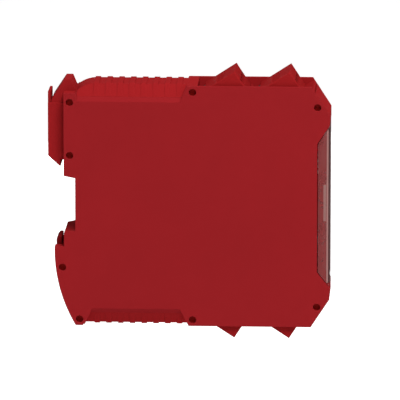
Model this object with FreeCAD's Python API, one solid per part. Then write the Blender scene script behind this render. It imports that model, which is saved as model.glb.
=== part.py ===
import FreeCAD, Part
import math
import os

os.makedirs("parts", exist_ok=True)
V = FreeCAD.Vector

# Safety relay module for a 35 mm rail, millimetres.
# Origin: middle of the rail seat, on the rail face.  +X right, -Y front, +Z up.
# Side profiles are lists of (distance in front of the rail face, height).

# Body
HALF = 11.25                # half of the 22.5 mm module width
SIDE = 1.2                  # side wall
INNER = HALF - SIDE         # inner face of each side wall
WALL = 1.3                  # walls of the centre section
MID_Z = -0.5                # middle of the body height
TOP = 49.0
FRONT = 107.5
SHOULDER = FRONT - 7.5      # where the slanted shoulders start
BAND_HALF = 7.0             # flat ridged band between the two side slopes
FAR = 70.0                  # cutting tools run out to here
JOIN = 0.05                 # slip between parts of the same body
GAP = 0.3                   # gap between parts that move apart
RUN = 0.05                  # radial running fit

# Terminal plugs: tilted blocks, measured from the sharp outer edge
TILT = 33.0
TIP_Z = 54.95
PLUG_MID = -0.05            # the plugs are the same above and below this height
TIP_FRONT = FRONT - 16.3
TIP_REAR = TIP_FRONT - 22.2
PLUG_LONG = 15.0
PLUG_HIGH = 10.5
PLUG_HALF = INNER - GAP
HEADER_GAP = 0.4            # plug to the base of its pin header
HEADER_THICK = 2.8
BAY_BACK = PLUG_LONG + HEADER_GAP + HEADER_THICK
BAY_FLOOR = PLUG_HIGH + 0.4
BAY_REAR = TIP_REAR + 0.26 - BAY_BACK * math.cos(math.radians(TILT))
POLE_PITCH = (PLUG_HALF + 0.25) / 2
POLES = [POLE_PITCH * (k - 1.5) for k in range(4)]
POLE_Z = -5.6

# Ridges across the band and down its slopes
RIB_FIRST = 13.1
RIB_COUNT = 8
RIB_PITCH = (BAY_REAR - 7.37 - RIB_FIRST) / (RIB_COUNT - 1)
RIB_WIDE = 2.2
RIB_RISE = 0.4
SLOPE_RISE = 0.12

# Cover pins
PIN_R = 1.5
PIN_SLIP = 0.02
PIN_HEAD_X = 1.8 - HALF
BOSS_R = 2.3
REAR_PINS = [(2.4, 41.8), (2.4, 20.0)]
BOARD_PINS = [(BAY_REAR - 1.9, 46.4), (BAY_REAR - 1.9, -47.5)]
LOBE_PINS = [(-0.7, -26.2), (6.2, -47.6)]
FRONT_PINS = [(FRONT - 5.0, 40.6), (FRONT - 5.1, -41.7)]

# Boards
BOARD_X = 0.35 - INNER
BOARD_THICK = 1.5
BOARD_FACE = BOARD_X + BOARD_THICK
FRONT_BOARD = FRONT - 12.6
FRONT_BOARD_FACE = FRONT_BOARD + BOARD_THICK
SWITCH_TOP = FRONT_BOARD_FACE + 2.7

# Front cover and its hinge
PANE_FACE = FRONT - 0.1
PANE_BACK = PANE_FACE - 1.1
HINGE = (PANE_BACK - 0.1, -33.6)
KNUCKLE_R = PANE_FACE - HINGE[0]
TRUNNION_R = 0.6
TONGUE_HALF = INNER - 0.35
TONGUE_TOP = -31.4
FLANGE = 1.0
WINDOW_FLOOR = FRONT - 5.0
PANEL_FACE = FRONT - 3.1
PANEL_SKIN = 1.5

# Latch
CHANNEL_HALF = 6.3
LATCH_HALF = CHANNEL_HALF - GAP
CHEEK = 1.8
CHANNEL_FRONT = 7.5
SPRING_D = 4.9
SPRING_R = 1.55
SPRING_WIRE = 0.3
LUG_UNDER = -27.0
SPRING_SEAT = -36.0


def at(d, z, x=0.0):
    return V(x, -d, z)


def flip(point):
    """The same point of the lower plugs and their bay."""
    return (point[0], 2 * PLUG_MID - point[1])


def side_face(path, x):
    """Face of a side profile; an entry of four numbers is an arc through its first pair."""
    edges = []
    last = path[-1][-2:]
    for step in path:
        end = step[-2:]
        if len(step) == 4:
            edges.append(Part.Arc(at(*last, x), at(*step[:2], x), at(*end, x)).toShape())
        else:
            edges.append(Part.makeLine(at(*last, x), at(*end, x)))
        last = end
    return Part.Face(Part.Wire(edges))


def prism(path, x_from, x_to):
    return side_face(path, x_from).extrude(V(x_to - x_from, 0, 0))


def points_of(path, pieces=6):
    """The profile with every arc turned into short straight steps."""
    points = []
    for step in path:
        if len(step) == 4:
            arc = Part.Arc(at(*points[-1]), at(*step[:2]), at(*step[2:])).toShape()
            points += [(-p.y, p.z) for p in arc.discretize(pieces + 1)[1:]]
        else:
            points.append(step)
    return points


def inset(points, gap):
    """The closed profile moved inwards by gap with mitred corners; a negative gap grows it."""
    after = points[1:] + points[:1]
    area = sum(p[0] * q[1] - q[0] * p[1] for p, q in zip(points, after))
    turn = math.copysign(1.0, area)
    normals = []
    for p, q in zip(points, after):
        length = math.hypot(q[0] - p[0], q[1] - p[1])
        normals.append((-turn * (q[1] - p[1]) / length, turn * (q[0] - p[0]) / length))
    moved = []
    for p, m, n in zip(points, normals[-1:] + normals[:-1], normals):
        scale = gap / (1 + m[0] * n[0] + m[1] * n[1])
        moved.append((p[0] + scale * (m[0] + n[0]), p[1] + scale * (m[1] + n[1])))
    return moved


def box(x, d, z):
    """Box between two widths, two distances and two heights."""
    return Part.makeBox(x[1] - x[0], d[1] - d[0], z[1] - z[0], V(x[0], -d[1], z[0]))


def rod(r, point, x_from, x_to):
    """Round bar along X at a (distance, height) point."""
    return Part.makeCylinder(r, x_to - x_from, at(*point, x_from), V(1, 0, 0))


def stud(r, x, z, d_from, d_to):
    """Round bar along the front-back direction."""
    return Part.makeCylinder(r, d_to - d_from, V(x, -d_from, z), V(0, -1, 0))


def joined(shapes):
    return shapes[0].fuse(shapes[1:]).removeSplitter()


def both_sides(shape):
    return shape.fuse(shape.mirror(V(0, 0, 0), V(1, 0, 0)))


def plug_point(tip_d, u, v):
    """Point in the side profile, u along the pull-out direction and v towards the wires."""
    c = math.cos(math.radians(TILT))
    s = math.sin(math.radians(TILT))
    return (tip_d + u * c - v * s, TIP_Z + u * s + v * c)


def seated(shape, tip_d, bottom):
    """A part drawn in plug coordinates (X, rearwards, towards the wires) put into its bay."""
    placed = shape.copy()
    placed.rotate(V(0, 0, 0), V(1, 0, 0), -TILT)
    placed.translate(at(tip_d, TIP_Z))
    if bottom:
        placed.rotate(V(0, 0, PLUG_MID), V(0, 1, 0), 180)
    return placed


def local_box(x, y, z):
    return Part.makeBox(x[1] - x[0], y[1] - y[0], z[1] - z[0], V(x[0], y[0], z[0]))


def bar(x, y, z, half):
    """Square bar in plug coordinates, running rearwards between two y values."""
    return local_box((x - half, x + half), y, (z - half, z + half))


def square(x, y, z, half):
    """Square outline in plug coordinates at one height."""
    corners = [V(x + i * half, y + j * half, z) for i, j in ((-1, -1), (1, -1), (1, 1), (-1, 1))]
    return Part.makePolygon(corners + corners[:1])


BAYS = {
    "top_rear": (TIP_REAR, False),
    "top_front": (TIP_FRONT, False),
    "bottom_rear": (TIP_REAR, True),
    "bottom_front": (TIP_FRONT, True),
}

# ---- Profiles of the body
BOTTOM = 2 * MID_Z - TOP
BAND_LOW = BOTTOM + 0.4     # the lower band lies behind the edge of the bay walls
LOBE_END = -50.1            # lowest point of the rear lobe
lobe = [(7.7, BAND_LOW), (7.7, LOBE_END), (4.6, LOBE_END), (-1.75, -34.8, -3.8, -17.6)]
band_low = [(BAY_REAR - 3.9, BOTTOM), (BAY_REAR - 4.3, BAND_LOW)]
rail_side = [(0.0, -17.6), (0.0, -12.0), (4.6, -11.0), (4.6, 10.7), (0.0, 11.6), (0.0, 45.6)]
crown = [(4.6, 45.6), (8.0, 48.0, 12.8, TOP)]
window_top = (FRONT, 33.3)
window = [window_top, (WINDOW_FLOOR, 25.8), (WINDOW_FLOOR, -27.2), (FRONT, -33.6)]
shoulder = [(SHOULDER, TOP), (FRONT, 37.4)]
shoulder_low = [(FRONT, -38.5), (SHOULDER, BOTTOM)]
body = rail_side + crown + shoulder + window + shoulder_low + band_low + lobe

wall_v = (TIP_REAR - plug_point(0, BAY_BACK, 0)[0] - BAY_REAR) / math.sin(math.radians(TILT))
peak_u = plug_point(0, 0, 0)[0] + (TIP_FRONT - TIP_REAR) * math.cos(math.radians(TILT)) - BAY_BACK
bay = [
    (BAY_REAR, TOP),
    plug_point(TIP_REAR, -BAY_BACK, wall_v),
    plug_point(TIP_REAR, -BAY_BACK, -BAY_FLOOR),
    plug_point(TIP_REAR, peak_u, -BAY_FLOOR),
    plug_point(TIP_FRONT, -BAY_BACK, -BAY_FLOOR),
    plug_point(TIP_FRONT, 22.0, -BAY_FLOOR),
]
bay_low = [flip(p) for p in reversed(bay[1:])] + [(BAY_REAR, BOTTOM)]
core = rail_side + crown + bay + bay_low + band_low + lobe


def bay_cut(points, outwards):
    """Room for two plugs between the side walls, open to the outside."""
    ends = [(points[-1][0], outwards), (points[0][0], outwards)]
    return prism(points + ends, -INNER, INNER)


def slope_corner(edge, foot, limits, grow):
    """Wedges outside the side slopes, from edge to foot as (half width, height)."""
    run = foot[0] - edge[0]
    rise = foot[1] - edge[1]
    length = math.hypot(run, rise)
    up = math.copysign(1.0, edge[1])
    a = (edge[0] - grow * abs(rise) / length, edge[1] - grow * up * run / length)
    b = (a[0] + 1.5 * run, a[1] + 1.5 * rise)
    corners = [V(a[0], 0, a[1]), V(b[0], 0, b[1]), V(b[0], 0, up * FAR), V(a[0], 0, up * FAR)]
    wedge = Part.Face(Part.makePolygon(corners + corners[:1])).extrude(V(0, -FAR, 0))
    return both_sides(wedge.common(prism(inset(limits, -grow), 0, FAR)))


EDGE_TOP = (BAND_HALF, TOP)
FOOT_TOP = (HALF, 42.3)
LIMITS_TOP = [(5.3, 30.0), (5.3, 60.0), (BAY_REAR + 0.2, 60.0), (BAY_REAR - 12.2, 30.0)]
EDGE_LOW = (BAND_HALF, BAND_LOW)
FOOT_LOW = (HALF, -43.1)
LIMITS_LOW = [(17.1, -30.0), (2.9, -62.0), (BAY_REAR + 2.7, -62.0), (BAY_REAR - 13.9, -30.0)]


def slopes(grow):
    upper = slope_corner(EDGE_TOP, FOOT_TOP, LIMITS_TOP, grow)
    return upper.fuse(slope_corner(EDGE_LOW, FOOT_LOW, LIMITS_LOW, grow))


# ---- Housing shell: far side wall, centre walls, hook, latch channel, pin bosses
cavity = prism(inset(points_of(core), WALL), -INNER, INNER).cut(slopes(WALL))
shell = prism(body, -INNER, HALF).cut(cavity)
shell = shell.cut(bay_cut(bay, FAR)).cut(bay_cut(bay_low, -FAR))

HOOK_HALF = 7.0
CREST_HALF = 6.25
HOOK_TOP = 40.9
HOOK_BACK = -6.6
HOOK_SKIN = 1.3
hook = [(1.0, 17.6), (-1.5, 17.6), (-1.6, 14.7), (-5.2, 17.9), (HOOK_BACK, 19.3)]
hook += [(HOOK_BACK, HOOK_TOP), (1.0, HOOK_TOP)]
tab = [(HOOK_BACK + 1.1, HOOK_TOP), (HOOK_BACK + 1.1, 45.3), (HOOK_BACK, 45.3), (HOOK_BACK, HOOK_TOP)]
crest = [(4.6, HOOK_TOP), (4.8, 45.8), (2.9, 50.4), (0.2, 50.4), (-4.7, 43.0), (-5.2, 41.8)]
crest.append((-5.2, HOOK_TOP))
hook_room = [(HOOK_BACK + HOOK_SKIN, 20.3), (HOOK_BACK + HOOK_SKIN, 39.6), (3.3, 39.6), (3.3, 20.3)]
crest_room = [(3.3, 39.0), (3.3, 46.0), (2.0, 49.1), (0.9, 49.1), (-3.9, 42.1), (-3.9, 39.0)]
shell = shell.fuse([
    prism(hook, -HOOK_HALF, HOOK_HALF),
    prism(tab, -CREST_HALF, CREST_HALF),
    prism(crest, -CREST_HALF, CREST_HALF),
])
shell = shell.cut(prism(hook_room, HOOK_SKIN - HOOK_HALF, HOOK_HALF - HOOK_SKIN))
shell = shell.cut(prism(crest_room, HOOK_SKIN - CREST_HALF, CREST_HALF - HOOK_SKIN))

# Latch channel: cheeks, front wall, roof and spring ledge inside the rear lobe
cheek_x = CHANNEL_HALF + CHEEK
block_front = CHANNEL_FRONT + WALL
block = [(0.0, -17.6), (block_front, -17.6), (block_front, BAND_LOW)] + lobe
channel = [(-8.0, -17.0), (-0.9, -17.0), (-0.9, -19.1), (CHANNEL_FRONT, -19.1)]
channel += [(CHANNEL_FRONT, -60.0), (-8.0, -60.0)]
groove = box((-CHANNEL_HALF - 0.9, CHANNEL_HALF + 0.9), (4.2, 6.8), (-31.5, -19.1))
ledge = box((-CHANNEL_HALF, CHANNEL_HALF), (2.9, CHANNEL_FRONT), (SPRING_SEAT - WALL, SPRING_SEAT))
shell = shell.fuse(prism(block, -cheek_x, cheek_x))
shell = shell.cut(prism(channel, -CHANNEL_HALF, CHANNEL_HALF)).cut(groove).fuse(ledge)

# Pin bosses and holes
pin_end = INNER - 1.05
bosses = [rod(BOSS_R, p, BOARD_FACE, INNER) for p in REAR_PINS + BOARD_PINS]
shell = shell.fuse(Part.makeCompound(bosses).cut(bay_cut(bay, FAR)).cut(bay_cut(bay_low, -FAR)))
for p in REAR_PINS + BOARD_PINS:
    shell = shell.cut(rod(PIN_R, p, -HALF, pin_end))
for p in LOBE_PINS:
    shell = shell.cut(rod(PIN_R, p, -HALF, -CHANNEL_HALF - 0.5))
far_blind = HALF - 0.35
for p in FRONT_PINS:
    shell = shell.cut(rod(PIN_R, p, 0, far_blind))

# Side slopes and ridges
shell = shell.cut(slopes(0.0))
ridges = []
for edge, foot in ((EDGE_TOP, FOOT_TOP), (EDGE_LOW, FOOT_LOW)):
    up = math.copysign(1.0, edge[1])
    fall = (foot[1] - edge[1]) / (foot[0] - edge[0])
    low = edge[1] + fall * (INNER - BAND_HALF)
    for k in range(RIB_COUNT):
        start = RIB_FIRST - RIB_WIDE / 2 + k * RIB_PITCH
        corners = [
            V(0, -start, edge[1] - up * WALL / 2),
            V(BAND_HALF - RIB_RISE, -start, edge[1] - up * WALL / 2),
            V(INNER, -start, low - up * WALL / 2),
            V(INNER, -start, low + up * SLOPE_RISE),
            V(BAND_HALF, -start, edge[1] + up * RIB_RISE),
            V(0, -start, edge[1] + up * RIB_RISE),
        ]
        ridge = Part.Face(Part.makePolygon(corners + corners[:1])).extrude(V(0, -RIB_WIDE, 0))
        ridges.append(both_sides(ridge))
shell = shell.fuse(ridges)

# Holes for the terminal pins and for the cover hinge
pin_way = 0.6
for tip, bottom in BAYS.values():
    ways = [bar(x, (BAY_BACK - 0.5, BAY_BACK + WALL + 0.5), POLE_Z, pin_way) for x in POLES]
    shell = shell.cut(seated(Part.makeCompound(ways), tip, bottom))
hinge_blind = HALF - 0.25
shell = shell.cut(rod(TRUNNION_R + RUN, HINGE, 0, hinge_blind))
shell = shell.removeSplitter()
shell.exportStep("parts/housing_shell.step")

# ---- Side cover: the near side wall with its pin sockets
cover = prism(body, -HALF, -INNER)
sockets = [rod(BOSS_R, p, -INNER - 0.1, BOARD_FACE) for p in REAR_PINS]
sockets += [rod(BOSS_R, p, -INNER - 0.1, BOARD_X) for p in BOARD_PINS]
sockets += [rod(BOSS_R, p, -INNER - 0.1, -cheek_x) for p in LOBE_PINS]
inner_room = prism(inset(points_of(core), WALL + JOIN), -INNER, 0)
sockets = Part.makeCompound(sockets)
sockets = sockets.common(inner_room.fuse(prism(body, -HALF, -INNER))).cut(slopes(WALL + JOIN))
cover = cover.fuse(sockets)
for p in REAR_PINS + BOARD_PINS + LOBE_PINS + FRONT_PINS:
    cover = cover.cut(rod(PIN_R, p, -HALF - 1, 0))
cover = cover.cut(slopes(0.0)).cut(rod(TRUNNION_R + RUN, HINGE, -hinge_blind, 0)).removeSplitter()
cover.exportStep("parts/side_cover.step")

# ---- Pins that hold the cover on the housing
pins = [rod(PIN_R - PIN_SLIP, p, PIN_HEAD_X, pin_end) for p in REAR_PINS + BOARD_PINS]
pins += [rod(PIN_R - PIN_SLIP, p, PIN_HEAD_X, -CHANNEL_HALF - 0.5) for p in LOBE_PINS]
pins += [rod(PIN_R - PIN_SLIP, p, PIN_HEAD_X, far_blind) for p in FRONT_PINS]
Part.makeCompound(pins).exportStep("parts/housing_pins.step")

# ---- Front panel behind the clear cover, with shoulders above and below
panel_out = [(SHOULDER + 1.85, 46.15), shoulder[1], window_top, window[1], (WINDOW_FLOOR, 23.1)]
panel_out += [(PANEL_FACE, 25.9), (PANEL_FACE, -29.63), window[-1], shoulder_low[0]]
panel_out.append((SHOULDER + 1.85, -47.2))
block_back = PANEL_FACE - PANEL_SKIN
step_back = WINDOW_FLOOR - PANEL_SKIN
lip_back = FRONT - PANEL_SKIN
panel_in = [(SHOULDER + 0.6, -46.4), (lip_back, -37.2), (lip_back - 2.0, -37.2), (lip_back - 2.0, -31.4)]
panel_in += [(block_back, -30.2), (block_back, 22.5), (step_back, 22.5), (step_back, 26.3)]
panel_in += [(lip_back, 33.8), (lip_back, 37.0), (SHOULDER + 0.6, 45.35)]
PANEL_HALF = INNER - JOIN
panel = prism(panel_out + panel_in, -PANEL_HALF, PANEL_HALF)
LUG_R = 2.9
skin = prism(panel_out + [(FRONT_BOARD, -47.2), (FRONT_BOARD, 46.15)], -PANEL_HALF, PANEL_HALF)
roof = prism(inset(points_of(core), WALL + JOIN), -PANEL_HALF, PANEL_HALF)
lugs = Part.makeCompound([rod(LUG_R, p, -PANEL_HALF, PANEL_HALF) for p in FRONT_PINS])
panel = panel.fuse(lugs.common(skin).common(roof))
for p in FRONT_PINS:
    panel = panel.cut(rod(PIN_R, p, -HALF, HALF))
pocket = box((-HALF, HALF), (PANE_BACK - GAP, FRONT + 1), (HINGE[1] - KNUCKLE_R - 2 * GAP, TONGUE_TOP + 1))
panel = panel.cut(pocket).cut(rod(KNUCKLE_R + GAP, HINGE, -HALF, HALF))
POST_X = INNER - 2.05
for x in (-POST_X, POST_X):
    panel = panel.fuse(stud(1.3, x, 26.0, FRONT_BOARD_FACE, step_back + 0.2))
    panel = panel.fuse(stud(1.3, x, -26.0, FRONT_BOARD_FACE, block_back + 0.2))
KNOB_X = 2.5
KNOB_R = 3.2
KNOB_HEIGHTS = {"upper": 17.5, "lower": -18.0}
for z in KNOB_HEIGHTS.values():
    panel = panel.cut(stud(KNOB_R + RUN, KNOB_X, z, SWITCH_TOP, FRONT))
LIGHT_X = -6.0
LIGHT_HEIGHTS = [22.6 - 2.3 * k for k in range(5)]
LIGHT_HALF = (1.0, 0.6)
for z in LIGHT_HEIGHTS:
    wide = LIGHT_HALF[0] + JOIN
    high = LIGHT_HALF[1] + JOIN
    way = box((LIGHT_X - wide, LIGHT_X + wide), (SWITCH_TOP, FRONT), (z - high, z + high))
    panel = panel.cut(way)
panel = panel.removeSplitter()
panel.exportStep("parts/front_panel.step")

# ---- Clear front cover on its hinge, with the marker plate inside
flange_back = WINDOW_FLOOR + GAP
flange_side = [(PANE_FACE, 32.6), (flange_back, 25.7), (flange_back, -27.1), (FRONT - 1.34, TONGUE_TOP)]
flange_side.append((PANE_FACE, TONGUE_TOP))
lid_room = [(PANE_BACK, 29.16), (step_back, 21.2), (step_back, -40.0), (PANE_BACK, -40.0)]
lid = prism(flange_side, -HALF, HALF)
lid = lid.cut(prism(lid_room, FLANGE - HALF, HALF - FLANGE))
tongue = box((-TONGUE_HALF, TONGUE_HALF), (PANE_BACK, PANE_FACE), (HINGE[1], TONGUE_TOP + 0.5))
knuckle = rod(KNUCKLE_R, HINGE, -TONGUE_HALF, TONGUE_HALF)
trunnions = rod(TRUNNION_R, HINGE, 0.4 - HALF, HALF - 0.4)
LABEL_HALF = HALF - 3.25
LABEL_BACK = PANE_BACK - 1.2
LABEL = (-7.6, 7.2)
CLIP = 0.4
clips = [
    box((-LABEL_HALF, LABEL_HALF), (LABEL_BACK - CLIP, PANE_BACK + 0.2), (LABEL[1], LABEL[1] + 0.8)),
    box((-LABEL_HALF, LABEL_HALF), (LABEL_BACK - CLIP, LABEL_BACK), (LABEL[1] - 0.6, LABEL[1])),
    box((-LABEL_HALF, LABEL_HALF), (LABEL_BACK - CLIP, PANE_BACK + 0.2), (LABEL[0] - 1.3, LABEL[0])),
    box((-LABEL_HALF, LABEL_HALF), (LABEL_BACK - CLIP, LABEL_BACK), (LABEL[0], LABEL[0] + 0.6)),
]
lid = lid.fuse([tongue, knuckle, trunnions] + clips)
lid = lid.cut(box((-5.0, 5.0), (PANE_FACE - 0.3, FRONT), (28.8, 30.6))).removeSplitter()
lid.exportStep("parts/front_cover.step")
box((-LABEL_HALF, LABEL_HALF), (LABEL_BACK, PANE_BACK), LABEL).exportStep("parts/label_insert.step")

# ---- Selector knobs and the switches they turn
KNOB_SHAFT = 1.2
for name, z in KNOB_HEIGHTS.items():
    knob = joined([
        stud(KNOB_R, KNOB_X, z, SWITCH_TOP + 1.4, PANEL_FACE + 0.2),
        stud(KNOB_R + 0.7, KNOB_X, z, SWITCH_TOP + 0.4, block_back - GAP),
        stud(KNOB_SHAFT, KNOB_X, z, FRONT_BOARD_FACE + 0.4, SWITCH_TOP + 0.9),
    ])
    slot_top = PANEL_FACE + 0.4
    knob = knob.cut(box((KNOB_X - 2.3, KNOB_X + 2.3), (PANEL_FACE - 0.6, slot_top), (z - 0.45, z + 0.45)))
    knob = knob.cut(box((KNOB_X + 1.6, KNOB_X + 2.3), (PANEL_FACE - 0.6, slot_top), (z - 0.9, z + 0.9)))
    knob.exportStep("parts/selector_knob_%s.step" % name)
switches = []
for z in KNOB_HEIGHTS.values():
    case = box((KNOB_X - 4, KNOB_X + 4), (FRONT_BOARD_FACE, SWITCH_TOP), (z - 4, z + 4))
    case = case.makeChamfer(0.4, [e for e in case.Edges if abs(e.CenterOfMass.y + SWITCH_TOP) < 0.01])
    switches.append(case.cut(stud(KNOB_SHAFT + RUN, KNOB_X, z, FRONT_BOARD_FACE, FRONT)))
Part.makeCompound(switches).exportStep("parts/selector_switches.step")

# ---- Status lights: LEDs on the front board, light pipes up to the panel face
led_top = FRONT_BOARD_FACE + 0.9
spine_top = led_top + 1.3
spine_z = (LIGHT_HEIGHTS[-1] - 1.4, LIGHT_HEIGHTS[0] + 1.4)
spine = box((LIGHT_X - 1.2, LIGHT_X + 1.2), (led_top, spine_top), spine_z)
pipes = [spine]
leds = []
for z in LIGHT_HEIGHTS:
    pipe_x = (LIGHT_X - LIGHT_HALF[0], LIGHT_X + LIGHT_HALF[0])
    pipes.append(box(pipe_x, (spine_top - 0.2, PANEL_FACE), (z - LIGHT_HALF[1], z + LIGHT_HALF[1])))
    leds.append(box((LIGHT_X - 0.9, LIGHT_X + 0.9), (FRONT_BOARD_FACE, led_top), (z - 0.6, z + 0.6)))
joined(pipes).exportStep("parts/status_light_pipes.step")
Part.makeCompound(leds).exportStep("parts/status_leds.step")

# ---- Rail latch and its spring
LATCH_INSET = 0.4
back = inset(points_of(block), LATCH_INSET)
arc_points = back[5:]
latch_end = LOBE_END + 0.45
latch_side = [(5.0, latch_end)] + [p for p in arc_points if latch_end < p[1] < -18.5]
latch_side += [(-3.35, -17.6), (-3.4, -15.6), (-2.6, -14.6), (-1.3, -14.6)]
latch_side += [(-1.3, -19.4), (0.6, -19.4), (0.6, -24.5), (7.0, -24.5)]
latch_side += [(7.0, LUG_UNDER), (0.9, LUG_UNDER), (2.5, -37.4), (4.4, -42.5)]
latch_side += [(7.0, -46.0), (7.0, latch_end)]
latch = prism(latch_side, -LATCH_HALF, LATCH_HALF)
GUIDE = 0.9
guide = box((-LATCH_HALF - GUIDE, LATCH_HALF + GUIDE), (4.5, 6.5), (LUG_UNDER, -24.5))
latch = latch.fuse(guide).cut(box((-2.0, 2.0), (5.0, 6.2), (LOBE_END, latch_end + 2.3))).removeSplitter()
latch.exportStep("parts/rail_latch.step")
TURNS = 5
STEPS = 14
climb = (LUG_UNDER - SPRING_SEAT - 2 * SPRING_WIRE) / (TURNS * STEPS)
sections = []
for step in range(TURNS * STEPS + 1):
    turn = 2 * math.pi * step / STEPS
    across = V(math.cos(turn), math.sin(turn), 0)
    centre = at(SPRING_D, SPRING_SEAT + SPRING_WIRE + step * climb) + across * SPRING_R
    ring = []
    for side in range(6):
        angle = math.pi * (side / 3 + 1 / 6)
        ring.append(centre + across * SPRING_WIRE * math.cos(angle) + V(0, 0, SPRING_WIRE * math.sin(angle)))
    sections.append(Part.makePolygon(ring + ring[:1]))
coil = Part.makeLoft(sections, True, True)
coil.exportStep("parts/latch_spring.step")

# ---- Terminal plug, drawn once: X, y rearwards from the screw face, z down from the wire face
SCREW_HEAD = 1.45
HEAD_FROM = 1.8
HEAD_TO = 3.3
SHANK_R = 1.0
SHANK_END = 8.0
CHAMBER_HALF = 1.7
WIRE_Y = 7.1
plug = local_box((-PLUG_HALF, PLUG_HALF), (0, PLUG_LONG), (-PLUG_HIGH, 0))
long_edges = [e for e in plug.Edges if e.Length > PLUG_LONG and e.CenterOfMass.y > 1]
end_edges = [e for e in plug.Edges if abs(abs(e.CenterOfMass.x) - PLUG_HALF) < 0.01]
plug = plug.makeChamfer(0.3, long_edges + end_edges)
clamps = []
for x in POLES:
    plug = plug.cut(Part.makeLoft([square(x, WIRE_Y, 0.01, 1.8), square(x, WIRE_Y, -2.0, 1.3)], True))
    plug = plug.cut(local_box((x - 1.3, x + 1.3), (WIRE_Y - 1.4, WIRE_Y + 1.4), (-2.6, -1.9)))
    plug = plug.cut(local_box((x - CHAMBER_HALF, x + CHAMBER_HALF), (3.6, 10.4), (-9.2, -2.4)))
    plug = plug.cut(Part.makeCylinder(SCREW_HEAD + GAP, 4.0, V(x, -0.2, POLE_Z), V(0, 1, 0)))
    plug = plug.cut(local_box((x - 1.2, x + 1.2), (10.2, PLUG_LONG + 1), (POLE_Z - 0.8, POLE_Z + 0.8)))
    cage = local_box((x - CHAMBER_HALF, x + CHAMBER_HALF), (4.4, 9.8), (-9.2, -3.0))
    cage = cage.cut(local_box((x - 1.3, x + 1.3), (5.7, 8.8), (-8.2, 0)))
    cage = cage.cut(Part.makeCylinder(SHANK_R + RUN, 3.0, V(x, 3.0, POLE_Z), V(0, 1, 0)))
    leaves = []
    for side in (-1, 1):
        span = sorted((x + side * 0.85, x + side * 1.15))
        leaves.append(local_box(span, (9.6, 14.6), (POLE_Z - 0.5, POLE_Z + 0.5)))
    clamps.append(cage.fuse(leaves).removeSplitter())
for k in (-1, 0, 1):
    x = k * POLE_PITCH
    plug = plug.cut(local_box((x - 0.25, x + 0.25), (1.0, PLUG_LONG - 1.0), (-0.3, 0.1)))
    plug = plug.cut(local_box((x - 0.25, x + 0.25), (-0.1, 0.3), (-PLUG_HIGH + 1.0, -1.0)))
plug = plug.removeSplitter()
clamps = Part.makeCompound(clamps)
screw = Part.makeCylinder(SCREW_HEAD, HEAD_TO - HEAD_FROM, V(0, HEAD_FROM, POLE_Z), V(0, 1, 0))
screw = screw.cut(local_box((-0.3, 0.3), (HEAD_FROM - 0.1, HEAD_FROM + 0.6), (POLE_Z - 2, POLE_Z + 2)))
screw = screw.fuse(Part.makeCylinder(SHANK_R, SHANK_END - HEAD_TO, V(0, HEAD_TO, POLE_Z), V(0, 1, 0)))

# Pin header behind each plug: base against the bay wall, leads running to the main board
BASE_HALF = PLUG_HALF - 0.15
base_y = (PLUG_LONG + HEADER_GAP, BAY_BACK)
header_base = local_box((-BASE_HALF, BASE_HALF), base_y, (-PLUG_HIGH + 0.1, -0.8))
LEAD = 0.4
all_leads = []
for name, (tip, bottom) in BAYS.items():
    seated(plug, tip, bottom).exportStep("parts/plug_%s.step" % name)
    seated(clamps, tip, bottom).exportStep("parts/clamps_%s.step" % name)
    for number, x in enumerate(POLES, 1):
        one = screw.copy()
        one.translate(V(x, 0, 0))
        seated(one, tip, bottom).exportStep("parts/clamp_screw_%s_%d.step" % (name, number))
    toward = 1 if bottom else -1
    base = header_base.copy()
    leads = []
    for order, x in enumerate(sorted(POLES, reverse=bottom)):
        turn_y = BAY_BACK + 2.2 + 1.1 * order
        blade = bar(x, (10.8, BAY_BACK), POLE_Z, 0.5)
        tail = bar(x, (BAY_BACK, turn_y + LEAD), POLE_Z, LEAD)
        across = sorted((x - toward * LEAD, -toward * (BOARD_X - 0.2)))
        cross = local_box(across, (turn_y - LEAD, turn_y + LEAD), (POLE_Z - LEAD, POLE_Z + LEAD))
        leads += [blade, tail, cross]
    header = seated(joined([base] + leads), tip, bottom)
    header.exportStep("parts/header_%s.step" % name)
    all_leads.append(header)

# ---- Main board and what stands on it
board_room = prism(inset(points_of(core), WALL + 0.4), BOARD_X, BOARD_FACE)
board = board_room.common(box((-HALF, HALF), (9.8, FRONT_BOARD - 1.0), (-FAR, FAR))).cut(slopes(WALL + 0.4))
for p in BOARD_PINS:
    board = board.cut(rod(PIN_R + 0.1, p, -HALF, 0))
relays = []
RELAY = (13.0, BAY_REAR - 1.0)
RELAY_HIGH = 13.0
RELAY_X = (BOARD_FACE + 0.2, INNER - 2.55)
for low in (15.0, -3.0):
    case = box(RELAY_X, RELAY, (low, low + RELAY_HIGH))
    case = case.makeChamfer(0.5, [e for e in case.Edges if abs(e.CenterOfMass.x - RELAY_X[1]) < 0.01])
    feet_at = (RELAY[0] + 0.5, RELAY[1] - 2.0)
    feet = [box((BOARD_FACE, RELAY_X[0]), (d, d + 1.5), (low + 1, low + RELAY_HIGH - 1)) for d in feet_at]
    legs = []
    for k in range(5):
        d = RELAY[0] + 3.0 + k * (RELAY[1] - RELAY[0] - 6.0) / 4
        for z in (low + 2.5, low + RELAY_HIGH - 2.5):
            legs.append(box((BOARD_X - 0.2, RELAY_X[0]), (d - 0.3, d + 0.3), (z - 0.3, z + 0.3)))
    relays.append(joined([case] + feet + legs))
relays[0].exportStep("parts/relay_1.step")
relays[1].exportStep("parts/relay_2.step")

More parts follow.
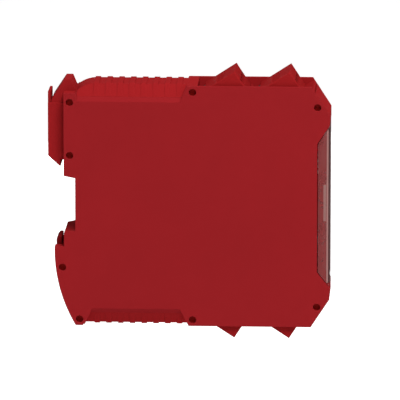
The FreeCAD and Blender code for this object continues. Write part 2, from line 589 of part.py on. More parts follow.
CORE_D = TIP_REAR + 1.0     # middle of the transformer
winding = box((BOARD_FACE + 1.5, 4.0), (CORE_D - 9.0, CORE_D + 9.0), (-9.0, 5.0))
winding = winding.makeFillet(1.5, [e for e in winding.Edges if e.Length > 12])
yoke = box((BOARD_FACE + 3.5, 2.0), (CORE_D - 10.5, CORE_D + 10.5), (-13.0, 9.0))
yoke = yoke.cut(box((-HALF, HALF), (CORE_D - 6.5, CORE_D + 6.5), (-10.0, 6.0)))
foot = box((BOARD_FACE, BOARD_FACE + 1.8), (CORE_D - 10.0, CORE_D + 10.0), (-12.0, 8.0))
bobbin = box((BOARD_FACE + 1.0, -3.0), (CORE_D - 7.0, CORE_D + 7.0), (-12.0, 8.0))
transformer = joined([winding, yoke, foot, bobbin])
transformer.exportStep("parts/transformer.step")

cans = []
for point in ((CORE_D - 7.0, -22.0), (CORE_D + 3.0, -22.0)):
    can = rod(4.0, point, BOARD_FACE, 4.5)
    cans.append(can.makeChamfer(0.5, [e for e in can.Edges if abs(e.CenterOfMass.x - 4.5) < 0.01]))
film = box((BOARD_FACE, 3.0), (CORE_D + 9.5, CORE_D + 15.5), (-28.0, -15.0))
cans.append(film.makeChamfer(0.4, [e for e in film.Edges if abs(e.CenterOfMass.x - 3.0) < 0.01]))
Part.makeCompound(cans).exportStep("parts/capacitors.step")

chips = []
near = ((30.0, -12.0, 3.0), (42.0, -12.0, 3.0))
for d, z, half in ((CORE_D - 7.0, 20.0, 5.0), (CORE_D + 12.0, 14.0, 5.0), (CORE_D + 15.0, 1.0, 2.4)) + near:
    low_d = d - half
    high_d = d + half
    chip = box((BOARD_FACE + 0.1, BOARD_FACE + 1.4), (low_d, high_d), (z - half, z + half))
    teeth = []
    count = int(half * 1.2)
    for k in range(count):
        at_z = z - half + (k + 0.5) * 2 * half / count
        foot_x = (BOARD_FACE, BOARD_FACE + 0.5)
        teeth.append(box(foot_x, (low_d - 0.9, high_d + 0.9), (at_z - 0.2, at_z + 0.2)))
    chips.append(joined([chip] + teeth))
Part.makeCompound(chips).exportStep("parts/control_chips.step")
fuse_body = box((BOARD_FACE, BOARD_FACE + 6.0), (14.0, 22.0), (-30.0, -26.0))
top_edges = [e for e in fuse_body.Edges if abs(e.CenterOfMass.x - BOARD_FACE - 6.0) < 0.01]
fuse_body = fuse_body.makeFillet(0.6, top_edges)
fuse_body.exportStep("parts/fuse.step")

for shape in all_leads + relays:
    board = board.cut(shape)
board.exportStep("parts/main_board.step")

# ---- Front board and the connector between the two boards
BOARD_HALF = INNER - 0.55
front_board = box((-BOARD_HALF, BOARD_HALF), (FRONT_BOARD, FRONT_BOARD_FACE), (-30.0, 30.0))
front_board.exportStep("parts/front_board.step")
link = box((BOARD_FACE, -3.6), (FRONT_BOARD - 6.5, FRONT_BOARD), (-9.0, 9.0))
link = link.cut(box((-6.6, -5.2), (FRONT_BOARD - 3.9, FRONT_BOARD - 1.9), (-8.0, 8.0)))
link.exportStep("parts/board_connector.step")
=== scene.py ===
import math

import bmesh
import bpy
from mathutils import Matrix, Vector


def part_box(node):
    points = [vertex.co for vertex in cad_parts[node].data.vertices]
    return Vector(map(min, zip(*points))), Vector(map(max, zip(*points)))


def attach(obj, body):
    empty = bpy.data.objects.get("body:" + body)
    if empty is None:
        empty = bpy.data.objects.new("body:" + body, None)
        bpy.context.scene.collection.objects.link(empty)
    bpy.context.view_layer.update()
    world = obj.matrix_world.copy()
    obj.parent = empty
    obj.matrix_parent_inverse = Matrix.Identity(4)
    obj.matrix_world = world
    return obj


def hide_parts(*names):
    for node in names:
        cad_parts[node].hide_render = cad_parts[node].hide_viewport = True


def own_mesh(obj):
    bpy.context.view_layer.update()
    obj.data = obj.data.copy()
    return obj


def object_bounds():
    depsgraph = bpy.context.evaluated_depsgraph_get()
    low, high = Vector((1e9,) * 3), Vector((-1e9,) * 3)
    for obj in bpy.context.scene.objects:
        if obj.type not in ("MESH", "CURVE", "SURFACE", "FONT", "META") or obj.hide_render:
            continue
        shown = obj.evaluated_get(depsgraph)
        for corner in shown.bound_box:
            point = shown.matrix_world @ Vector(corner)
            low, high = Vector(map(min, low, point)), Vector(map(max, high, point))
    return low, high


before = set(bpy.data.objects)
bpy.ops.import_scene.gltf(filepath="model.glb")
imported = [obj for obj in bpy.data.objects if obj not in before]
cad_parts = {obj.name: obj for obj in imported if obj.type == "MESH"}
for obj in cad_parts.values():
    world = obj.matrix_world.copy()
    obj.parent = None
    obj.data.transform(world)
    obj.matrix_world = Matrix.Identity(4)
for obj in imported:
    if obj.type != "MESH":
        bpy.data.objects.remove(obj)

cad_box = [list(corner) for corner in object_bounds()]


# ---- Housing shell: one red glass-filled nylon moulding with a spark-eroded grain. It forms the far side
# wall, the ridged top and bottom, the bays of the plugs and the hook that hangs the relay on its rail.
EDGE_GAIN = 5.0             # how soon the mark of an edge is full
FLOW_CELLS = 28.0           # cells per metre of the flow marks, the grain and its finest part
GRAIN_CELLS = 3200.0
FINE_CELLS = 11000.0
FLOW_TONE = 0.04            # how much darker or lighter the flow marks are
EDGE_HIGHLIGHT = 0.30               # share of the lighter red painted on edges as a highlight
SOFT_EDGE = 0.0003          # radius that moulded edges are rounded to
TRACE_OF_GLOSS = 0.0005     # the grain leaves almost no mirror reflection


class Shade:
    """A value in a material. Sums and products of values add their own Math nodes."""

    def __init__(self, tree, socket=None):
        self.tree = tree
        self.socket = socket

    def node(self, kind, settings, inputs, outlet=0):
        """New node with its settings, then the values or links of its sockets."""
        made = self.tree.nodes.new("ShaderNode" + kind)
        for name, value in settings.items():
            setattr(made, name, value)
        for name, value in inputs.items():
            if isinstance(value, Shade):
                self.tree.links.new(value.socket, made.inputs[name])
            else:
                made.inputs[name].default_value = value
        return Shade(self.tree, made.outputs[outlet])

    def math(self, operation, first, second, clamp=False):
        """New Math node on two values."""
        return self.node("Math", {"operation": operation, "use_clamp": clamp}, {0: first, 1: second})

    def __add__(self, other):
        return self.math("ADD", self, other)

    __radd__ = __add__

    def __sub__(self, other):
        return self.math("SUBTRACT", self, other)

    def __rsub__(self, other):
        return self.math("SUBTRACT", other, self)

    def __mul__(self, other):
        return self.math("MULTIPLY", self, other)

    __rmul__ = __mul__

    def __gt__(self, other):
        return self.math("GREATER_THAN", self, other)

    def __lt__(self, other):
        return self.math("LESS_THAN", self, other)

    def held(self):
        """The value kept between 0 and 1."""
        return self.math("ADD", self, 0.0, clamp=True)

    def tint(self, low, high):
        """Colour from low to high as this value goes from 0 to 1."""
        return self.node("Mix", {"data_type": "RGBA"}, {0: self, 6: low, 7: high}, 2)

    def place(self):
        """Place on the piece, in metres."""
        return self.node("TexCoord", {}, {}, "Object")

    def along(self, axis):
        """Place on the piece along one axis, in metres."""
        return self.node("SeparateXYZ", {}, {0: self.place()}, axis)

    def noise(self, scale, detail=2.0, rough=0.5):
        """Noise over the piece, scale in cells per metre."""
        inputs = {"Vector": self.place(), "Scale": scale, "Detail": detail, "Roughness": rough}
        return self.node("TexNoise", {}, inputs)

    def rounded(self, radius):
        """Normals that round the edges off to a radius."""
        return self.node("Bevel", {"samples": 4}, {"Radius": radius}, "Normal")

    def edge(self, radius):
        """1 on the line of an edge, 0 on the open faces beside it."""
        true = self.node("NewGeometry", {}, {}, "Normal")
        soft = self.rounded(radius)
        same = self.node("VectorMath", {"operation": "DOT_PRODUCT"}, {0: soft, 1: true}, "Value")
        return ((1.0 - same) * EDGE_GAIN).held()

    def bumped(self, height, depth, normal=None):
        """Normals lifted by a height from 0 to 1 times a depth in metres."""
        inputs = {"Height": height, "Strength": 1.0, "Distance": depth}
        if normal:
            inputs["Normal"] = normal
        return self.node("Bump", {}, inputs)


def srgb(red, green, blue):
    """Colour from 0 to 255 values, as the shader wants it."""
    linear = []
    for value in (red, green, blue):
        value /= 255.0
        linear.append(value / 12.92 if value <= 0.04045 else ((value + 0.055) / 1.055) ** 2.4)
    return (*linear, 1.0)


def toned(colour, gain, lift=0.0, most=255.0):
    """A 0 to 255 colour made lighter or darker."""
    return srgb(*[min(part * gain + lift, most) for part in colour])


def finish_of(name, **fixed):
    """New material with its shader, and a Shade to write values with."""
    material = bpy.data.materials.new(name)
    material.use_nodes = True
    tree = material.node_tree
    shader = tree.nodes["Principled BSDF"]
    for socket, value in fixed.items():
        shader.inputs[socket.replace("_", " ")].default_value = value
    return material, shader, Shade(tree)


def feed(shader, shade, **sockets):
    """Links values to the shader's sockets."""
    for name, value in sockets.items():
        shade.tree.links.new(value.socket, shader.inputs[name.replace("_", " ")])


def dress(material, *nodes):
    """Puts a finish on CAD nodes."""
    for node in nodes:
        body = bpy.data.objects[node]
        if not body.material_slots:
            body.data.materials.append(None)
        for place in body.material_slots:
            place.link = "OBJECT"
            place.material = material


def moulded_red(name, base, light, grain_depth, rough, radius=SOFT_EDGE):
    """Red moulding: flow marks, spark-eroded grain, and edges painted lighter as a highlight."""
    material, shader, shade = finish_of(name, IOR=1.5, Specular_IOR_Level=TRACE_OF_GLOSS)
    flow = shade.noise(FLOW_CELLS, 3.0, 0.6)
    grain = shade.noise(GRAIN_CELLS, 2.0, 0.6)
    fine = shade.noise(FINE_CELLS, 1.0)
    edge = shade.edge(radius)
    colour = flow.tint(toned(base, 1 - FLOW_TONE), toned(base, 1 + FLOW_TONE))
    colour = (fine * 0.10 + grain * 0.06).tint(colour, srgb(*light))
    # Painted highlight: every edge is tinted toward the lighter red.
    colour = (edge * EDGE_HIGHLIGHT).tint(colour, srgb(*light))
    uneven = (flow - 0.5) * 0.14 + (grain - 0.5) * 0.20 + rough - edge * 0.06
    normal = shade.bumped(grain * 0.7 + fine * 0.3, grain_depth, shade.rounded(radius))
    feed(shader, shade, Base_Color=colour, Roughness=uneven.held(), Normal=normal)
    return material


housing_red = moulded_red("housing_red", (150, 28, 31), (186, 46, 48), grain_depth=0.000035, rough=0.66)
dress(housing_red, "housing_shell")


# ---- Rail latch: slider of red nylon in the rear lobe, with a nose that catches under the rail. It runs
# between the two cheeks of the lobe. Its red is made darker than the housing's as painted shade for its deep
# place.
# Painted shade: a darker copy of the housing red.
latch_shaded_red = moulded_red("latch_shaded_red", (104, 14, 16), (146, 34, 36), grain_depth=0.000030, rough=0.58)
dress(latch_shaded_red, "rail_latch")


# ---- Latch spring: hard-drawn steel wire, wound with closed ends. It stands in the lobe under the latch's
# lug and is pressed together when the latch is drawn down.
COIL_RADIUS = 0.00155
WIRE_RADIUS = 0.0003
CLOSED_RISE = 2.04          # rise of a closed turn, in wire radii
CLOSED_TURNS = 1.0          # turns that lie against each other at each end
OPEN_TURNS = 4.0
TURN_STEPS = 32
WIRE_SIDES = 12


def drawn_metal(name, dark, bright, lines, rough):
    """Bare or plated metal with fine lines and dull patches."""
    material, shader, shade = finish_of(name, Metallic=1.0)
    patch = shade.noise(lines * 0.2, 3.0)
    line = shade.noise(lines, 2.0)
    colour = (patch * 0.6 + line * 0.4).tint(srgb(*dark), srgb(*bright))
    feed(shader, shade, Base_Color=colour, Roughness=line * 0.22 + rough, Normal=shade.bumped(line, 0.00001))
    return material


def as_piece(shape, name, material, body):
    """Turns a finished bmesh into a piece with one finish that rides on a body."""
    bmesh.ops.recalc_face_normals(shape, faces=shape.faces)
    mesh = bpy.data.meshes.new(name)
    shape.to_mesh(mesh)
    shape.free()
    piece = bpy.data.objects.new(name, mesh)
    piece.data.materials.append(material)
    bpy.context.scene.collection.objects.link(piece)
    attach(piece, body)
    return piece


def coil_spring(name, low, high, material):
    """Compression spring wound from round wire, with closed ends, over the height of its CAD solid."""
    centre = Vector(((low[0] + high[0]) / 2, (low[1] + high[1]) / 2, low[2] + WIRE_RADIUS))
    closed_rise = CLOSED_RISE * WIRE_RADIUS
    open_rise = (high[2] - low[2] - 2 * WIRE_RADIUS - 2 * CLOSED_TURNS * closed_rise) / OPEN_TURNS
    shape = bmesh.new()
    steps = int((2 * CLOSED_TURNS + OPEN_TURNS) * TURN_STEPS)
    rings = []
    height = 0.0
    for step in range(steps + 1):
        turn = step / TURN_STEPS
        angle = 2 * math.pi * turn
        out = Vector((math.cos(angle), math.sin(angle), 0.0))
        middle = centre + out * COIL_RADIUS + Vector((0.0, 0.0, height))
        ring = []
        for side in range(WIRE_SIDES):
            around = 2 * math.pi * side / WIRE_SIDES
            spot = out * math.cos(around) + Vector((0.0, 0.0, math.sin(around)))
            ring.append(shape.verts.new(middle + spot * WIRE_RADIUS))
        rings.append(ring)
        is_open = CLOSED_TURNS <= turn < CLOSED_TURNS + OPEN_TURNS
        height += (open_rise if is_open else closed_rise) / TURN_STEPS
    for ring, after in zip(rings, rings[1:]):
        for side in range(WIRE_SIDES):
            beside = (side + 1) % WIRE_SIDES
            shape.faces.new((ring[side], ring[beside], after[beside], after[side])).smooth = True
    shape.faces.new(rings[0])
    shape.faces.new(rings[-1][::-1])
    return as_piece(shape, name, material, "housing")


spring_steel = drawn_metal("spring_steel", (120, 120, 122), (186, 186, 188), lines=6000.0, rough=0.22)
dress(spring_steel, "latch_spring")
low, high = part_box("latch_spring")
coil = coil_spring("latch_coil", low, high, spring_steel)
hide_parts("latch_spring")
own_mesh(coil)


# ---- Main board and front board: glass-fibre boards under green solder mask. Copper tracks lift the mask,
# and tinned vias show between them as bright dots.
TRACK_SCALE = 95.0
VIA_SCALE = 260.0
VIA_SIZE = 0.16             # share of a cell that is metal
WEAVE_CELLS = 3500.0


def board_mask(name, across, up):
    """Solder mask over tracks; across and up are the two axes of the board's face."""
    material, shader, shade = finish_of(name, IOR=1.5)
    flat = shade.node("CombineXYZ", {}, {0: shade.along(across), 1: shade.along(up)})
    bricks = {"Scale": TRACK_SCALE, "Mortar Size": 0.028, "Mortar Smooth": 0.2, "Brick Width": 0.9}
    track = shade.node("TexBrick", {"offset": 0.37, "squash": 0.8}, {"Vector": flat, **bricks}, "Fac")
    dots = shade.node("TexVoronoi", {"feature": "F1"}, {"Vector": flat, "Scale": VIA_SCALE}, "Distance")
    via = dots < VIA_SIZE
    weave = shade.noise(WEAVE_CELLS, 1.0)
    mask = track.tint(srgb(18, 78, 46), srgb(36, 112, 66))
    mask = (weave * 0.2).tint(mask, srgb(70, 150, 96))
    colour = via.tint(mask, srgb(196, 196, 186))
    normal = shade.bumped(track + via * 0.5 + weave * 0.1, 0.00004)
    feed(shader, shade, Base_Color=colour, Metallic=via * 0.9, Roughness=0.34 - weave * 0.1, Normal=normal)
    return material


dress(board_mask("main_board_mask", "Y", "Z"), "main_board")
dress(board_mask("front_board_mask", "X", "Z"), "front_board")


# ---- Small parts of the boards: connector, selector switches and chips in black glass-filled plastic and
# a fuse in brown, with a dull skin and corners painted lighter as a highlight. All are soldered to the
# boards.
SKIN_CELLS = 2600.0
CLOUD_CELLS = 60.0
SMALL_EDGE = 0.00015


def dull_moulding(name, dark, light, rough, depth=0.00002):
    """Small plastic part with a cloudy skin and corners painted lighter as a highlight."""
    material, shader, shade = finish_of(name, IOR=1.48)
    skin = shade.noise(SKIN_CELLS, 3.0, 0.6)
    cloud = shade.noise(CLOUD_CELLS, 2.0)
    edge = shade.edge(SMALL_EDGE)
    colour = (skin * 0.4 + cloud * 0.3).tint(srgb(*dark), srgb(*light))
    # Painted highlight: corners tinted lighter.
    colour = (edge * 0.3).tint(colour, toned(light, 1.5, 10.0, 250.0))
    normal = shade.bumped(skin, depth, shade.rounded(SMALL_EDGE))
    feed(shader, shade, Base_Color=colour, Roughness=(skin - 0.5) * 0.2 + rough, Normal=normal)
    return material


connector_black = dull_moulding("connector_black", (20, 20, 21), (44, 44, 46), rough=0.5)
dress(connector_black, "board_connector", "selector_switches")
dress(dull_moulding("chip_black", (26, 27, 29), (50, 51, 54), rough=0.6), "control_chips")
dress(dull_moulding("fuse_brown", (52, 30, 20), (84, 52, 36), rough=0.45), "fuse")


# ---- Switching relays: two sealed cases of yellow thermoplastic over force-guided contacts. Their pins
# are soldered to the main board.
dress(dull_moulding("relay_yellow", (196, 150, 30), (224, 182, 60), rough=0.38), "relay_1", "relay_2")


# ---- Transformer: dark ferrite yoke round a coil that is wound with yellow tape. It is glued and soldered
# to the main board.
YOKE_CHEEK = 0.0039         # yoke above and below the winding
YOKE_BACK = 0.0014          # yoke behind it
FERRITE_CELLS = 1500.0
TAPE_SCALE = 700.0
low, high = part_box("transformer")
material, shader, shade = finish_of("transformer_wound")
height = shade.along("Z")
between = (height > low[2] + YOKE_CHEEK) * (height < high[2] - YOKE_CHEEK)
winding = between * (shade.along("Y") < high[1] - YOKE_BACK)
turns = shade.node("TexWave", {"bands_direction": "Z"}, {"Vector": shade.place(), "Scale": TAPE_SCALE})
skin = shade.noise(FERRITE_CELLS, 3.0)
ferrite = skin.tint(srgb(44, 44, 47), srgb(74, 74, 78))
tape = turns.tint(srgb(176, 140, 40), srgb(208, 172, 66))
normal = shade.bumped(turns * winding + skin * 0.2, 0.00005)
feed(shader, shade, Base_Color=winding.tint(ferrite, tape), Roughness=skin * 0.3 + 0.35, Normal=normal)
dress(material, "transformer")


# ---- Capacitors: aluminium cans in dark blue shrink sleeves, with bare ends. They stand on the main board
# by their two leads.
CAN_END = 0.0003            # bare metal above the sleeve
SLEEVE_CELLS = 900.0
low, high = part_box("capacitors")
material, shader, shade = finish_of("capacitor_sleeve", IOR=1.5)
sleeve = shade.noise(SLEEVE_CELLS, 2.0)
end = shade.along("X") > high[0] - CAN_END
colour = end.tint(sleeve.tint(srgb(22, 26, 48), srgb(34, 40, 70)), srgb(176, 178, 180))
normal = shade.bumped(sleeve, 0.00002)
feed(shader, shade, Base_Color=colour, Metallic=end * 0.9, Roughness=sleeve * 0.2 + 0.22, Normal=normal)
dress(material, "capacitors")


# ---- Pin headers: black bases on the floors of the four slanted bays, with square tinned leads. The leads
# run on to the main board and forward into the plugs.
BAYS = [side + "_" + row for side in ("top", "bottom") for row in ("rear", "front")]
PLUG_TILT = math.radians(33.0)
PLUG_LONG = 0.015           # along the pull-out line of a plug, then across it
PLUG_HIGH = 0.0105
HEADER_GAP = 0.0004         # from a plug to the base of its header
HEADER_THICK = 0.0028
SLIP = 0.00002              # keeps the two faces of the base black
BASE_CELLS = 2600.0


def bay_depth(shade, bay):
    """Distance behind the screw face of a plug, measured along its pull-out line, in metres."""
    low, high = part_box("plug_" + bay)
    tip = low[1] + PLUG_HIGH * math.sin(PLUG_TILT)
    height = shade.along("Z")
    inward = height - low[2] if bay.startswith("bottom") else high[2] - height
    return (shade.along("Y") - tip) * math.cos(PLUG_TILT) + inward * math.sin(PLUG_TILT)


base_face = PLUG_LONG + HEADER_GAP
base_back = base_face + HEADER_THICK
for bay in BAYS:
    material, shader, shade = finish_of("header_" + bay)
    depth = bay_depth(shade, bay)
    skin = shade.noise(BASE_CELLS, 2.0)
    lead = ((depth < base_face - SLIP) + (depth > base_back + SLIP)).held()
    colour = lead.tint(skin.tint(srgb(22, 22, 23), srgb(42, 42, 44)), srgb(196, 192, 180))
    rough = 0.5 - lead * 0.22 + skin * 0.1
    normal = shade.bumped(skin, 0.00002)
    feed(shader, shade, Base_Color=colour, Metallic=lead, Roughness=rough, Normal=normal)
    dress(material, "header_" + bay)


# ---- Front panel: red nylon block behind the clear cover, with the shoulders that close the front. It is
# held between the housing and the side cover.
panel_red = moulded_red("panel_red", (150, 27, 31), (186, 46, 48), grain_depth=0.000030, rough=0.56)
dress(panel_red, "front_panel")


# ---- Status lights: white LEDs on the front board, and clear rods that carry their light to the panel.
# Each rod ends in a frosted lens with a low crown.
PIPE_GLOW_STRETCH = 0.0004           # last stretch of a rod behind its lens, painted green as a glow from its LED
PIPE_CELLS = 900.0
LIGHT_COUNT = 5
LIGHT_PITCH = 0.0023
LENS_HALF = (0.00098, 0.00058)
LENS_CROWN = 0.00022
LENS_STEPS = (10, 8)
FROST_CELLS = 4200.0


def lens_cap(name, centre, face, material):
    """Crowned lens over the end of one light pipe, flat where it sits on the panel."""
    columns, rows = LENS_STEPS
    shape = bmesh.new()
    grid = []
    for row in range(rows + 1):
        up = 2.0 * row / rows - 1.0
        points = []
        for column in range(columns + 1):
            across = 2.0 * column / columns - 1.0
            crown = LENS_CROWN * math.sqrt((1.0 - across ** 4) * (1.0 - up ** 4))
            spot = (centre[0] + across * LENS_HALF[0], face - crown, centre[1] + up * LENS_HALF[1])
            points.append(shape.verts.new(spot))
        grid.append(points)
    for below, above in zip(grid, grid[1:]):
        for left in range(columns):
            right = left + 1
            shape.faces.new((below[left], below[right], above[right], above[left])).smooth = True
    rim = grid[0][:-1] + [points[-1] for points in grid[:-1]]
    rim += grid[-1][:0:-1] + [points[0] for points in grid[:0:-1]]
    shape.faces.new(rim)
    return as_piece(shape, name, material, "housing")


low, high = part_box("status_light_pipes")
material, shader, shade = finish_of("pipe_clear", IOR=1.49)
haze = shade.noise(PIPE_CELLS, 2.0)
# Painted glow: the end of each rod is tinted green as if lit by its LED.
end = shade.along("Y") < low[1] + PIPE_GLOW_STRETCH
colour = end.tint(haze.tint(srgb(196, 208, 200), srgb(226, 234, 228)), srgb(150, 190, 140))
feed(shader, shade, Base_Color=colour, Roughness=haze * 0.2 + 0.1)
dress(material, "status_light_pipes")
dress(dull_moulding("led_white", (206, 206, 196), (236, 234, 220), rough=0.4), "status_leds")

material, shader, shade = finish_of("lens_frosted", IOR=1.49)
frost = shade.noise(FROST_CELLS, 2.0)
haze = shade.noise(PIPE_CELLS, 1.0)
colour = (frost * 0.5 + haze * 0.4).tint(srgb(186, 204, 190), srgb(228, 236, 228))
feed(shader, shade, Base_Color=colour, Roughness=frost * 0.25 + 0.2, Normal=shade.bumped(frost, 0.00001))
for number in range(LIGHT_COUNT):
    height = (low[2] + high[2]) / 2 + ((LIGHT_COUNT - 1) / 2 - number) * LIGHT_PITCH
    lens_cap("status_lens_%d" % (number + 1), ((low[0] + high[0]) / 2, height), low[1], material)


# ---- Selector knobs: pale grey rotary caps with a screwdriver slot, pressed on the shafts of the selector
# switches and turned from the front.
knob_grey = dull_moulding("knob_grey", (176, 178, 178), (206, 208, 206), rough=0.42)
dress(knob_grey, "selector_knob_upper", "selector_knob_lower")


# ---- Dial scales: white print on the panel round each knob. An open ring carries eleven ticks over the
# 270 degrees that the knob turns through.
KNOB_PROUD = 0.0002         # from the panel's face to the face of a knob
PRINT_PROUD = 0.00004
RING_RADIUS = 0.00375
RING_WIDTH = 0.00014
TICK_COUNT = 11
TICK_LONG = 0.0007
TICK_WIDTH = 0.00022
STEPS_PER_TICK = 6
DIAL_SWEEP = math.radians(270.0)
INK_CELLS = 5200.0


def raised_patch(shape, corners, face):
    """Closed low slab of print over four (x, z) corners."""
    back = [shape.verts.new((x, face + PRINT_PROUD / 2, z)) for x, z in corners]
    front = [shape.verts.new((x, face - PRINT_PROUD, z)) for x, z in corners]
    shape.faces.new(front)
    shape.faces.new(back[::-1])
    for side in range(4):
        after = (side + 1) % 4
        shape.faces.new((back[side], back[after], front[after], front[side]))


def dial_scale(name, centre, face, material):
    """Ring and ticks round one knob, as one printed piece."""
    shape = bmesh.new()
    steps = STEPS_PER_TICK * (TICK_COUNT - 1)
    inner, outer = RING_RADIUS, RING_RADIUS + RING_WIDTH
    for step in range(steps):
        corners = []
        for at, radii in ((step, (inner, outer)), (step + 1, (outer, inner))):
            turn = DIAL_SWEEP * (at / steps - 0.5)
            out = (math.sin(turn), math.cos(turn))
            corners += [(centre[0] + radius * out[0], centre[1] + radius * out[1]) for radius in radii]
        raised_patch(shape, corners, face)
    for tick in range(TICK_COUNT):
        turn = DIAL_SWEEP * (tick / (TICK_COUNT - 1) - 0.5)
        out = Vector((math.sin(turn), math.cos(turn)))
        aside = Vector((out.y, -out.x)) * TICK_WIDTH / 2
        near = Vector(centre) + out * (RING_RADIUS + RING_WIDTH * 2)
        far = near + out * TICK_LONG
        raised_patch(shape, [near - aside, far - aside, far + aside, near + aside], face)
    return as_piece(shape, name, material, "housing")


material, shader, shade = finish_of("print_white")
ink = shade.noise(INK_CELLS, 2.0)
colour = ink.tint(srgb(206, 204, 200), srgb(234, 233, 230))
feed(shader, shade, Base_Color=colour, Roughness=ink * 0.2 + 0.5, Normal=shade.bumped(ink, 0.000005))
for place in ("upper", "lower"):
    low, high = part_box("selector_knob_" + place)
    centre = ((low[0] + high[0]) / 2, (low[2] + high[2]) / 2)
    dial_scale("dial_scale_" + place, centre, low[1] + KNOB_PROUD, material)


# ---- Side cover: flat moulding of the same red nylon as the housing, which it closes on the side of the
# boards. Eight pins hold it, and its open face shows the grain best.
cover_red = moulded_red("cover_red", (145, 30, 34), (184, 46, 50), grain_depth=0.000030, rough=0.64)
dress(cover_red, "side_cover")


# ---- Housing pins: eight dark red nylon pins that hold the side cover. They are driven in until their
# heads lie below its face.
PIN_CELLS = 2500.0
material, shader, shade = finish_of("pin_red", Specular_IOR_Level=0.05)
speck = shade.noise(PIN_CELLS, 3.0)
colour = speck.tint(srgb(136, 18, 14), srgb(170, 30, 25))
feed(shader, shade, Base_Color=colour, Roughness=speck * 0.3 + 0.5, Normal=shade.bumped(speck, 0.00005))
dress(material, "housing_pins")


# ---- Terminal plugs: four blocks of the same red nylon with a finer grain. Each has a square funnel for
# every wire and a round well for every clamp screw, and pulls off its header along its own slope.
POLES = (1, 2, 3, 4)
PLUG_GRAIN = 0.000022
PLUG_EDGE = 0.0002
plug_red = moulded_red("plug_red", (146, 27, 29), (182, 44, 46), PLUG_GRAIN, rough=0.62, radius=PLUG_EDGE)
clamp_metal = drawn_metal("clamp_tin", (150, 144, 128), (208, 203, 188), lines=4000.0, rough=0.28)
screw_metal = drawn_metal("screw_zinc", (140, 142, 144), (206, 206, 202), lines=5000.0, rough=0.24)
for bay in BAYS:
    dress(plug_red, "plug_" + bay)
    dress(clamp_metal, "clamps_" + bay)
    dress(screw_metal, *["clamp_screw_%s_%d" % (bay, pole) for pole in POLES])


# ---- Front cover: clear polycarbonate lid on two small trunnions, with side flanges. Its thick edges carry
# painted highlights, a painted shade line, the red of the housing as a painted reflection and a painted
# image of the marker plate's ends; seen edge-on, the pane takes a painted dark reflection.
FLANGE_WIDE = 0.00105       # side flange, measured in from the outer face
SKIN_WIDE = 0.00015         # outer skin of the flange
DARK_DEEP = 0.0004          # painted shade line, then painted highlight line, measured back from the pane's face
LIGHT_DEEP = 0.0011
PLATE_FROM = 0.0013         # painted image of the marker plate's lit end, measured the same way
PLATE_TO = 0.0024
PLATE_LIFT = (0.0016, 0.0019)       # how much higher its lower and upper ends show
EDGE_ON = 0.86              # how far from square the pane is seen when its painted dark reflection starts
EDGE_ON_GAIN = 10.0
PANE_HIDES = 0.01           # how much the pane and its flanges hide
FLANGE_HIDES = 0.71
SCUFF_CELLS = 140.0
PANE_EDGE = 0.0004
low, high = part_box("front_cover")
plate_low, plate_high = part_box("label_insert")
material, shader, shade = finish_of("cover_clear", IOR=1.5, Specular_IOR_Level=0.05)
scuff = shade.noise(SCUFF_CELLS, 4.0, 0.65)
edge = shade.edge(PANE_EDGE)
depth = shade.along("Y")
height = shade.along("Z")
off_middle = shade.math("ABSOLUTE", shade.along("X"), 0.0)
flange = off_middle > high[0] - FLANGE_WIDE
skin = off_middle > high[0] - SKIN_WIDE
# Painted shade line and painted highlight line along the front rim of the flanges.
painted_shade_line = skin * (depth < low[1] + DARK_DEEP)
painted_highlight_line = skin * (depth < low[1] + LIGHT_DEEP) * (1.0 - painted_shade_line)
# Painted image of the lit end of the marker plate, as if seen through the flange.
plate_depth = (depth < low[1] + PLATE_TO) * (depth > low[1] + PLATE_FROM)
plate_height = (height > plate_low[2] + PLATE_LIFT[0]) * (height < plate_high[2] + PLATE_LIFT[1])
painted_plate_end = skin * plate_depth * plate_height
# Painted dark reflection: the pane darkens when it is seen edge-on.
facing = shade.node("LayerWeight", {}, {"Blend": 0.5}, "Facing")
edge_on_dark_reflection = ((facing - EDGE_ON) * EDGE_ON_GAIN).held()
pane_tone = scuff.tint(srgb(196, 198, 200), srgb(216, 218, 220))
# The red of the flanges is a painted reflection of the housing behind them.
flange_painted_red = scuff.tint(srgb(134, 58, 58), srgb(144, 66, 66))
colour = flange.tint(pane_tone, flange_painted_red)
# Painted highlight along the edges of the lid.
colour = (edge * 0.25).tint(colour, srgb(166, 120, 118))
colour = painted_highlight_line.tint(colour, srgb(160, 116, 112))
colour = painted_plate_end.tint(colour, srgb(160, 114, 110))
colour = painted_shade_line.tint(colour, srgb(58, 26, 28))
colour = (edge_on_dark_reflection * (1.0 - flange)).tint(colour, srgb(84, 58, 58))
alpha = flange * FLANGE_HIDES + edge * 0.12 + PANE_HIDES + scuff * 0.05
alpha = (alpha + painted_highlight_line * 0.3 + painted_shade_line * 0.9 + edge_on_dark_reflection * 0.8).held()
rough = scuff * 0.12 + 0.06 + edge_on_dark_reflection * 0.8
normal = shade.bumped(scuff, 0.00001, shade.rounded(SOFT_EDGE))
feed(shader, shade, Base_Color=colour, Alpha=alpha, Roughness=rough, Normal=normal)
dress(material, "front_cover")


# ---- Marker plate: bare white plastic card with faint writing lines. It slides in between the two clips on
# the back of the clear cover.
HALF_PITCH = 0.0015         # half the distance between two writing lines, and half a line's width
HALF_LINE = 0.00012
LINE_MARGIN = 0.0012
FIBRE_CELLS = 1800.0
material, shader, shade = finish_of("marker_white")
fibre = shade.noise(FIBRE_CELLS, 3.0)
line = shade.math("PINGPONG", shade.along("Z"), HALF_PITCH) < HALF_LINE
across = shade.along("X")
inside = (across > plate_low[0] + LINE_MARGIN) * (across < plate_high[0] - LINE_MARGIN)
colour = fibre.tint(srgb(214, 212, 206), srgb(234, 233, 228))
colour = (line * inside * 0.5).tint(colour, srgb(120, 122, 124))
feed(shader, shade, Base_Color=colour, Roughness=fibre * 0.2 + 0.45, Normal=shade.bumped(fibre, 0.00002))
dress(material, "label_insert")


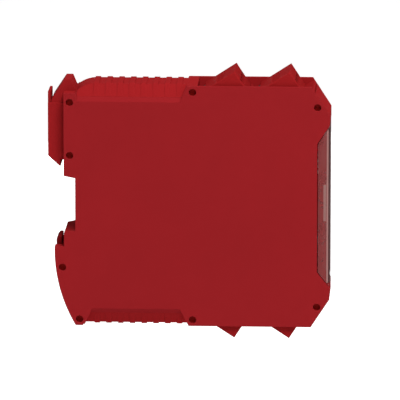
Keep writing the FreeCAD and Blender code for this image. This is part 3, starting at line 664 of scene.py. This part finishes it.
# ---- Studio: pale floor well below the relay, white surround, one large soft light from above and two
# broad fills, set so that colours show about as they are written.
FLOOR_DROP = 0.16
FLOOR_HALF = 6.0
FLOOR_GLOW = 0.65
PAPER_CELLS = 30.0
SURROUND_LIGHT = 0.25
CAMERA_TURN = math.radians(-87.2)
CAMERA_RISE = math.radians(11.9)
CAMERA_AWAY = 2.5
CAMERA_FAR = 20.0
LENS = 554.6
AIM_AHEAD = 0.00415         # from the middle of the relay to the point that the camera aims at
AIM_DOWN = 0.00005


def seen_by_eye(shade):
    """1 for what only the eye, reflections and clear plastic see, and 0 for light on the object."""
    seen = shade.node("LightPath", {}, {}, "Is Camera Ray")
    for ray in ("Is Glossy Ray", "Is Transmission Ray"):
        seen = seen + shade.node("LightPath", {}, {}, ray)
    return seen.held()


mesh = bpy.data.meshes.new("floor")
half = FLOOR_HALF
corners = [(x, y, -FLOOR_DROP) for x, y in ((-half, -half), (half, -half), (half, half), (-half, half))]
mesh.from_pydata(corners, [], [(0, 1, 2, 3)])
floor = bpy.data.objects.new("floor", mesh)
bpy.context.scene.collection.objects.link(floor)
material, shader, shade = finish_of("floor_paper", Roughness=0.9, Emission_Strength=FLOOR_GLOW)
paper = shade.noise(PAPER_CELLS, 2.0).tint(srgb(244, 244, 244), srgb(248, 248, 248))
glow = seen_by_eye(shade).tint((0, 0, 0, 1), (1, 1, 1, 1))
feed(shader, shade, Base_Color=paper, Emission_Color=glow)
floor.data.materials.append(material)

world = bpy.data.worlds.new("studio")
bpy.context.scene.world = world
world.use_nodes = True
tree = world.node_tree
surround = tree.nodes["Background"]
surround.inputs["Color"].default_value = (1, 1, 1, 1)
strength = seen_by_eye(Shade(tree)) * (1.0 - SURROUND_LIGHT) + SURROUND_LIGHT
tree.links.new(strength.socket, surround.inputs["Strength"])

middle = (Vector(cad_box[0]) + Vector(cad_box[1])) / 2


def soft_light(name, place, power, size):
    """Square area light that faces the middle of the relay."""
    lamp = bpy.data.lights.new(name, "AREA")
    lamp.energy = power
    lamp.size = size
    light = bpy.data.objects.new(name, lamp)
    light.location = middle + Vector(place)
    light.rotation_mode = "QUATERNION"
    light.rotation_quaternion = (middle - light.location).to_track_quat("-Z", "Y")
    bpy.context.scene.collection.objects.link(light)


soft_light("over", place=(-0.49, -0.20, 0.85), power=9.9, size=0.45)
soft_light("ahead", place=(-0.2, -0.9, 0.25), power=1.2, size=0.6)
soft_light("right", place=(0.90, 0.20, -0.06), power=2.6, size=0.6)

target = middle + Vector((0.0, -AIM_AHEAD, -AIM_DOWN))
level = math.cos(CAMERA_RISE)
aside = math.sin(CAMERA_TURN) * level
ahead = math.cos(CAMERA_TURN) * level
away = Vector((aside, -ahead, math.sin(CAMERA_RISE)))
camera = bpy.data.objects.new("camera", bpy.data.cameras.new("camera"))
camera.data.lens = LENS
camera.data.clip_end = CAMERA_FAR
camera.location = target + away * CAMERA_AWAY
camera.rotation_mode = "QUATERNION"
camera.rotation_quaternion = (-away).to_track_quat("-Z", "Y")
bpy.context.scene.collection.objects.link(camera)
bpy.context.scene.camera = camera
bpy.context.scene.view_settings.view_transform = "Standard"
